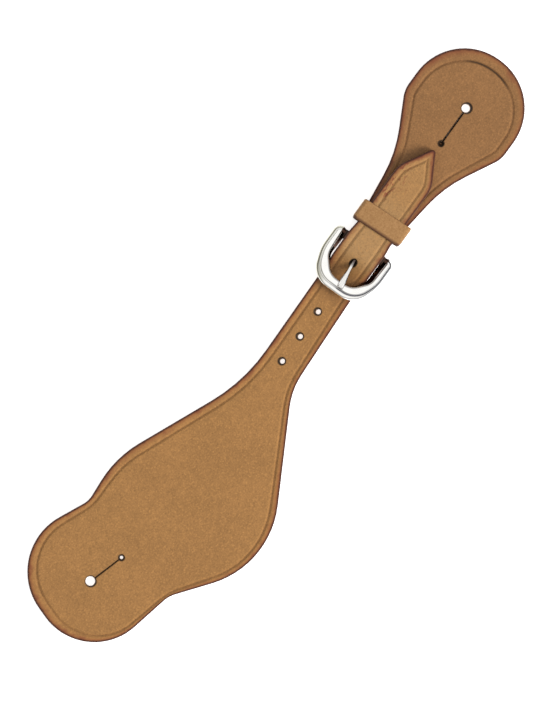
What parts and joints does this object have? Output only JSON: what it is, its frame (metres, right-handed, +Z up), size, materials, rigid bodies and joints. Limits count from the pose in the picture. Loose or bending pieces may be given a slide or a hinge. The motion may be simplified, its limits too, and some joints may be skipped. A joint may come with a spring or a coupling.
{
  "type": "spur strap",
  "caption": "Buckled leather spur strap with a two-lobed buttonhole wing, a punched billet, a loose keeper and a horseshoe heel-bar buckle with a tongue.",
  "frame": {"origin": "middle of the strap's outline in plan, on the surface that it lies on", "axes": "+X along the strap from the two-lobed wing to the round lobe, +Y across the strap, +Z up from the lying strap"},
  "size_m": [0.3342, 0.087, 0.0136],
  "materials": {
    "strap_leather": "oiled russet skirting leather with burnished edges",
    "keeper_leather": "oiled russet leather with burnished edges",
    "waxed_thread": "waxed tan thread",
    "buckle_metal": "polished nickel plate",
    "staple_steel": "plain steel wire"
  },
  "bodies": {
    "strap": {"buckle_strap": "strap_leather", "stitch_row_left": "waxed_thread", "stitch_row_right": "waxed_thread"},
    "billet": {"billet_strap": "strap_leather"},
    "keeper": {"keeper_loop": "keeper_leather", "keeper_staple": "staple_steel"},
    "frame": {"buckle_frame": "buckle_metal"},
    "tongue": {"buckle_tongue": "buckle_metal"}
  },
  "joints": [
    {"name": "frame_hinge", "type": "hinge", "parent": "strap", "child": "frame", "pos_m": [0.06037, -0.00027, 0.00495], "axis": [0, 1, 0], "range_deg": [0, 2.5]},
    {"name": "tongue_hinge", "type": "hinge", "parent": "frame", "child": "tongue", "pos_m": [0.06037, -0.00027, 0.00495], "axis": [0, 1, 0], "range_deg": [0, 3]},
    {"name": "keeper_slide", "type": "slide", "parent": "strap", "child": "keeper", "axis": [1, 0, 0], "range_m": [-0.0054, 0.0014]},
    {"name": "billet_play", "type": "slide", "parent": "strap", "child": "billet", "axis": [1, 0, 0], "range_m": [-0.0004, 0.0004]}
  ]
}
